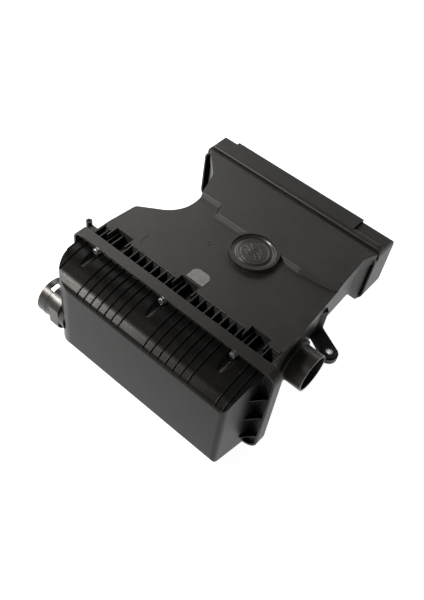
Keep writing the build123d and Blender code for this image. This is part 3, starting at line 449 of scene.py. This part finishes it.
for node, thing in frame["nodes"].items():
    dress(thing, SLOT_OF[node])
print("dressed", len(SLOT_OF), "nodes")

# %% [markdown]
# ## Surfaces from grids
#
# Every new piece is a grid of points with quads between neighbours. A ring shape closes on
# itself in both directions. Where a row shrinks to one point, its copies are merged. The
# sign of the enclosed volume tells whether the faces point outward. Corners are softened
# in the shape itself, so edges catch the light from every side.


# %% Grid to mesh
def piece(name, grid, node, closed_rows=False):
    """Mesh of a (rows, columns, 3) grid that closes along its columns, in place of a node."""
    rows, columns, _ = grid.shape
    index = np.arange(rows * columns).reshape(rows, columns)
    lower = index if closed_rows else index[:-1]
    upper = np.roll(index, -1, axis=0) if closed_rows else index[1:]
    quads = np.stack([lower, np.roll(lower, -1, 1), np.roll(upper, -1, 1), upper], -1).reshape(-1, 4)
    points = grid.reshape(-1, 3)
    a, b, c, d = (points[quads[:, k]] for k in range(4))
    volume = np.einsum("ij,ij->i", a, np.cross(b, c) + np.cross(c, d)).sum()
    if volume < 0:
        quads = quads[:, ::-1]
    mesh = bpy.data.meshes.new(name)
    mesh.from_pydata(points.tolist(), [], quads.tolist())
    work = bmesh.new()
    work.from_mesh(mesh)
    bmesh.ops.remove_doubles(work, verts=work.verts, dist=1e-7)
    work.to_mesh(mesh)
    work.free()
    mesh.polygons.foreach_set("use_smooth", [True] * len(mesh.polygons))
    thing = bpy.data.objects.new(name, mesh)
    bpy.context.scene.collection.objects.link(thing)
    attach(thing, frame["nodes"][node]["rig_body"])
    dress(thing, SLOT_OF[node])
    print(name, len(mesh.polygons), "faces")
    return thing


def softened(corners, radius, steps=6):
    """Closed profile whose corners are parabolas: (1-t)^2 A + 2t(1-t) P + t^2 B."""
    points = np.array(corners, float)
    before = np.roll(points, 1, axis=0) - points
    after = np.roll(points, -1, axis=0) - points
    reach_a = np.linalg.norm(before, axis=1, keepdims=True)
    reach_b = np.linalg.norm(after, axis=1, keepdims=True)
    start = points + before / reach_a * np.minimum(radius, 0.45 * reach_a)
    stop = points + after / reach_b * np.minimum(radius, 0.45 * reach_b)
    t = np.linspace(0, 1, steps)[None, :, None]
    curve = (1 - t) ** 2 * start[:, None] + 2 * t * (1 - t) * points[:, None] + t ** 2 * stop[:, None]
    return curve.reshape(-1, 2)


def turned(profile, centre, axis="z", steps=96, swell=None):
    """Ring of a closed (radius, height) profile: centre + r (cos t, sin t) + height."""
    angle = np.linspace(0, TAU, steps, endpoint=False)[None, :]
    radius = profile[:, :1] + (0 if swell is None else swell(profile[:, :1], profile[:, 1:], angle))
    u = radius * np.cos(angle)
    v = radius * np.sin(angle)
    h = profile[:, 1:] + 0 * angle
    order = {"z": (u, v, h), "y": (v, h, u)}[axis]
    return np.stack(order, -1) + np.array(centre)


print("grid helpers ready")

# %% [markdown]
# ## Badge
#
# A round disc sits in a dish on the plate. It is a saucer: a raised rim, a groove, and a
# shallow dome with one plain ring and three wavy lines that stand for moving air. A height
# over (radius, angle) gives it all, so the light runs over soft flanks instead of steps.

# %% Badge disc
# heights and depths in mm; places and widths as shares of the disc's radius
DOME_HEIGHT, DOME_FALL, DOME_DROP, DOME_END, DOME_FLANK = 1.75, 0.35, 1.35, 0.72, 0.10
RIM_HEIGHT, RIM_START, RIM_FLANK = 2.55, 0.84, 0.15
RING_DEPTH, RING_PLACE, RING_WIDTH = 0.55, 0.63, 0.018
WAVE_HEIGHT, WAVE_LONG, WAVE_SHORT = 0.75, 0.47, 0.38
WAVE_GAP = 6.2 * MM
WAVE_SWING = 1.7 * MM
WAVE_BREADTH = 1.5 * MM
WAVE_END = 2.5 * MM
badge_low, badge_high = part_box("badge_disc")
badge_middle = (badge_low + badge_high) / 2
BADGE_RADIUS = (badge_high.x - badge_low.x) / 2


def ease(value):
    """Smooth step of a value held between 0 and 1: t^2 (3 - 2t)."""
    t = np.clip(value, 0, 1)
    return t * t * (3 - 2 * t)


def badge_height(radius, angle):
    """Dome and rim, minus a ring groove, plus three waves where |y - wave(x)| is small."""
    share = radius / BADGE_RADIUS
    dome = DOME_HEIGHT - DOME_FALL * share ** 2 - DOME_DROP * ease((share - DOME_END) / DOME_FLANK)
    rim = RIM_HEIGHT * ease((share - RIM_START) / RIM_FLANK)
    ring = RING_DEPTH * np.exp(-(((share - RING_PLACE) / RING_WIDTH) ** 2))
    x = radius * np.cos(angle)
    y = radius * np.sin(angle)
    height = dome + rim - ring
    for row in (-1, 0, 1):
        half = BADGE_RADIUS * (WAVE_LONG if row == 0 else WAVE_SHORT)
        wave = row * WAVE_GAP + WAVE_SWING * np.sin(1.5 * np.pi * x / half)
        across = np.clip(1 - (np.abs(y - wave) / WAVE_BREADTH) ** 2, 0, 1)
        ends = ease((half - np.abs(x)) / WAVE_END)
        height = height + WAVE_HEIGHT * ease(across * 1.4) * ends
    return height * MM


radii = np.concatenate([np.linspace(0, BADGE_RADIUS, 150), [BADGE_RADIUS, 0]])[:, None]
angles = np.linspace(0, TAU, 300, endpoint=False)[None, :]
rise = badge_height(radii, angles)
rise[-2:] = 0.0
badge_grid = np.stack([badge_middle.x + radii * np.cos(angles), badge_middle.y + radii * np.sin(angles),
                       badge_low.z + rise], -1)
badge = piece("badge_saucer", badge_grid, "badge_disc")
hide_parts("badge_disc")

# %% [markdown]
# ## Filter paper
#
# The filter is one long sheet folded to and fro. Its folds are round, because paper bends
# over a radius. The path across the pleats is a rounded zigzag, and the sheet is that path
# moved half a thickness to each side. A low ripple along the pleats is the embossing that
# keeps them apart.

# %% Pleated sheet
paper_low, paper_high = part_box("filter_media")
PLEATS = 53
THICK = 0.7 * MM
SHARPNESS = 0.985
STEPS_PER_PLEAT = 28
RIPPLE = 0.12 * MM
RIPPLE_LENGTH = 9 * MM


def pleat_path(steps):
    """Rounded zigzag: y follows arcsin of a softened sine, so flanks are straight."""
    along = np.linspace(0, PLEATS, steps)
    wave = np.arcsin(SHARPNESS * np.cos(TAU * along)) / np.arcsin(SHARPNESS)
    x = paper_low.x + THICK + (paper_high.x - paper_low.x - 2 * THICK) * along / PLEATS
    y = (paper_low.y + paper_high.y) / 2 - 0.5 * (paper_high.y - paper_low.y - 2 * THICK) * wave
    return np.stack([x, y], -1)


path = pleat_path(PLEATS * STEPS_PER_PLEAT + 1)
run = np.gradient(path, axis=0)
side = np.stack([-run[:, 1], run[:, 0]], -1) / np.linalg.norm(run, axis=1, keepdims=True)
loop = np.concatenate([path + side * THICK / 2, (path - side * THICK / 2)[::-1]])
levels = np.linspace(paper_low.z, paper_high.z, 25)[:, None]
ripple = RIPPLE * np.sin(TAU * levels / RIPPLE_LENGTH)
across, deep = loop[None, :, 0], loop[None, :, 1]
sheet = np.stack([across + ripple, deep + 0 * levels, levels + 0 * across], -1)
middle = np.concatenate([path, path[::-1]])
caps = [np.stack([middle[:, 0] + ripple[k, 0], middle[:, 1], np.full(len(middle), levels[k, 0])], -1)
        for k in (0, -1)]
pleats = piece("pleated_paper", np.concatenate([caps[0][None], sheet, caps[1][None]]), "filter_media")
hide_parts("filter_media")

# %% [markdown]
# ## Turned small pieces
#
# Rubber bushes, the steel sleeve and the brass inserts are all rings. Each is a closed
# profile with softened corners, swung round its own axis. The inserts are knurled: their
# outside radius swells and shrinks forty times round.


# %% Rubber and steel rings
SLEEVE_BORE = 3.3 * MM
PEG_BORE = 6.0 * MM
DRAIN_BORE = 1.5 * MM
DRAIN_NECK = 4.5 * MM
DRAIN_FLANGE = 2.8 * MM
LIP = 1.6 * MM
WAIST_DEPTH = 2.0 * MM
BAND_DEPTH = 0.5 * MM


def ring_piece(name, node, corners, radius, steps=96):
    """A turned ring in place of a node, centred on the node's box."""
    low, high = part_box(node)
    centre = (low + high) / 2
    grid = turned(softened(corners, radius), centre, steps=steps)
    thing = piece(name, grid, node, closed_rows=True)
    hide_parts(node)
    return thing


def half_size(node, axis):
    """Half of a node's box along one axis, in metres."""
    low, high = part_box(node)
    return (high - low)[axis] / 2


reach = half_size("lug_grommet", 0)
tall = half_size("lug_grommet", 2)
sleeve = half_size("lug_sleeve", 0)
waist = reach - WAIST_DEPTH
ring_piece("lug_bush", "lug_grommet", [
    (sleeve, -tall), (reach, -tall), (reach, -tall + LIP), (waist, -tall + LIP),
    (waist, tall - LIP), (reach, tall - LIP), (reach, tall), (sleeve, tall)], 0.5 * MM)
high_sleeve = half_size("lug_sleeve", 2)
ring_piece("lug_spacer", "lug_sleeve", [
    (SLEEVE_BORE, -high_sleeve), (sleeve, -high_sleeve), (sleeve, high_sleeve),
    (SLEEVE_BORE, high_sleeve)], 0.35 * MM)

reach = half_size("peg_isolator", 0)
tall = half_size("peg_isolator", 2)
neck = reach - WAIST_DEPTH
bands = np.linspace(-tall + 1.5 * MM, tall - 4.5 * MM, 9)
teeth = [(neck - (BAND_DEPTH if k % 2 else 0.0), level) for k, level in enumerate(bands)]
ring_piece("peg_bush", "peg_isolator", [(PEG_BORE, -tall), (neck, -tall)] + teeth + [
    (neck, tall - 3 * MM), (reach, tall - 3 * MM), (reach, tall), (PEG_BORE, tall)], 0.5 * MM)

reach = half_size("drain_valve", 0)
tall = half_size("drain_valve", 2)
ring_piece("drain_plug", "drain_valve", [
    (DRAIN_BORE, -tall), (DRAIN_NECK, -tall), (DRAIN_NECK, tall - DRAIN_FLANGE),
    (reach, tall - DRAIN_FLANGE), (reach - 0.8 * MM, tall), (DRAIN_BORE, tall)], 0.4 * MM, steps=64)


# %% Knurled inserts
INSERT_BORE = 2.8 * MM
KNURL_FROM = 3.4 * MM
FLUTES = 40
FLUTE_DEPTH = 0.18 * MM


def knurl(radius, height, angle):
    """Shallow flutes on the outside of the ring: depth (1 + cos(flutes t)) / 2."""
    outside = (radius > KNURL_FROM) * 1.0
    return -outside * FLUTE_DEPTH * (0.5 + 0.5 * np.cos(FLUTES * angle))


insert_low, insert_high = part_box("threaded_inserts")
insert_half = (insert_high.y - insert_low.y) / 2
insert_radius = (insert_high.z - insert_low.z) / 2
groove = 0.5 * MM
knurled = softened([
    (INSERT_BORE, -insert_half), (insert_radius, -insert_half), (insert_radius, -groove),
    (insert_radius - groove, -groove), (insert_radius - groove, groove), (insert_radius, groove),
    (insert_radius, insert_half), (INSERT_BORE, insert_half)], 0.2 * MM, 4)
SCREW_NODES = ["cover_screw_left", "cover_screw_middle", "cover_screw_right"]
screw_x = [(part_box(node)[0].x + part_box(node)[1].x) / 2 for node in SCREW_NODES]
for order, x in enumerate(screw_x):
    centre = (x, (insert_low.y + insert_high.y) / 2, (insert_low.z + insert_high.z) / 2)
    made = piece(f"knurled_insert_{order + 1}", turned(knurled, centre, "y", 160, knurl),
                 "threaded_inserts", closed_rows=True)
    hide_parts("threaded_inserts")

# %% [markdown]
# ## Screw threads
#
# The CAD screws have plain shanks. A thread is a small triangle carried along a helix. It
# grows from nothing at each end, so the ridge starts and stops cleanly and stays closed.

# %% Threads
PITCH = 0.8 * MM
SHANK = 2.5 * MM
THREAD_ROOM = 8.6 * MM     # from the point of the screw back to the first turn
POINT_ROOM = 0.9 * MM      # plain length left at the point


def helix_ridge(x, start, stop, z):
    """Triangle on a helix: (r cos t, r sin t) round the screw, one pitch along per turn."""
    turns = (stop - start) / PITCH
    t = np.linspace(0, turns, int(turns * 36))[:, None]
    grow = np.minimum(1, np.minimum(t, turns - t) * 3)
    across = np.array([-0.36, 0.0, 0.36, 0.0])[None, :] * PITCH * grow
    out = np.array([-0.10, 0.25, -0.10, -0.16])[None, :] * MM * grow
    radius = SHANK - 0.02 * MM + out
    return np.stack([x + radius * np.cos(TAU * t), start + PITCH * t + across,
                     z + radius * np.sin(TAU * t)], -1)


for node, x in zip(SCREW_NODES, screw_x):
    low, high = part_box(node)
    grid = helix_ridge(x, high.y - THREAD_ROOM, high.y - POINT_ROOM, (low.z + high.z) / 2)
    piece(node.replace("cover_screw", "thread"), grid, node)

# %% [markdown]
# ## Floor
#
# A plain white floor shows the black plastic best. It is a stage, not part of the object.
# It gives off a little light of its own, so it stays white right up to the housing and
# lights the undersides softly, as a studio table does.

# %% Floor
FLOOR_Z = cad_low.z - 0.5 * MM
SPAN = 4.0
GLOW = 0.92
floor_mesh = bpy.data.meshes.new("floor")
floor_mesh.from_pydata([(-SPAN, -SPAN, FLOOR_Z), (SPAN, -SPAN, FLOOR_Z), (SPAN, SPAN, FLOOR_Z),
                        (-SPAN, SPAN, FLOOR_Z)], [], [(0, 1, 2, 3)])
floor = bpy.data.objects.new("floor", floor_mesh)
bpy.context.scene.collection.objects.link(floor)
floor_finish = Finish("floor")
mottle = floor_finish.noise(0.4, 3.0)
floor_mesh.materials.append(floor_finish.paint(
    Base_Color=floor_finish.blend(mottle, grey(0.50), grey(0.54)), Roughness=0.9,
    Emission_Color=grey(1.0), Emission_Strength=GLOW))
print("floor at", round(FLOOR_Z / MM, 1), "mm")

# %% [markdown]
# ## Light
#
# Black plastic shows what it mirrors more than what it scatters, so the light is placed by
# reflections. A panel behind on the left lies in the mirror direction of the flat top, and
# a brighter one in front on the left lies in that of the rolled edge of the cover. Overhead
# it stays dark, which keeps the ribbed top black. The sky is white at the horizon and dims
# towards the top. Colours are shown as they are, with no film curve, so white stays white.


# %% Panels and sky
def panel(name, place, target, width, height, power):
    """Area light at place that faces target."""
    lamp = bpy.data.lights.new(name, "AREA")
    lamp.shape = "RECTANGLE"
    lamp.size = width
    lamp.size_y = height
    lamp.energy = power
    thing = bpy.data.objects.new(name, lamp)
    thing.location = place
    thing.rotation_euler = (Vector(target) - Vector(place)).to_track_quat("-Z", "Y").to_euler()
    bpy.context.scene.collection.objects.link(thing)
    return thing


panel("plate_panel", (-1.00, 0.75, 1.05), (0, 0.1, 0), 0.8, 0.6, 9.0)
panel("edge_panel", (-1.05, -1.00, 1.25), (-0.10, -0.05, 0), 0.5, 0.4, 44.0)
panel("ridge_panel", (-0.30, 1.90, 1.00), (0, 0.25, 0), 1.2, 0.35, 3.0)

world = bpy.data.worlds.new("studio")
world.use_nodes = True
sky = world.node_tree
height = sky.nodes.new("ShaderNodeSeparateXYZ")
fall = sky.nodes.new("ShaderNodeMapRange")
fall.interpolation_type = "SMOOTHSTEP"
for key, value in {"From Min": 0.05, "From Max": 0.75, "To Min": 1.0, "To Max": 0.03}.items():
    fall.inputs[key].default_value = value
sky.links.new(sky.nodes.new("ShaderNodeTexCoord").outputs["Generated"], height.inputs[0])
sky.links.new(height.outputs["Z"], fall.inputs["Value"])
sky.links.new(fall.outputs["Result"], sky.nodes["Background"].inputs["Strength"])
sky.nodes["Background"].inputs["Color"].default_value = (1, 1, 1, 1)
bpy.context.scene.world = world
bpy.context.scene.view_settings.view_transform = "Standard"
print("panels: 3")
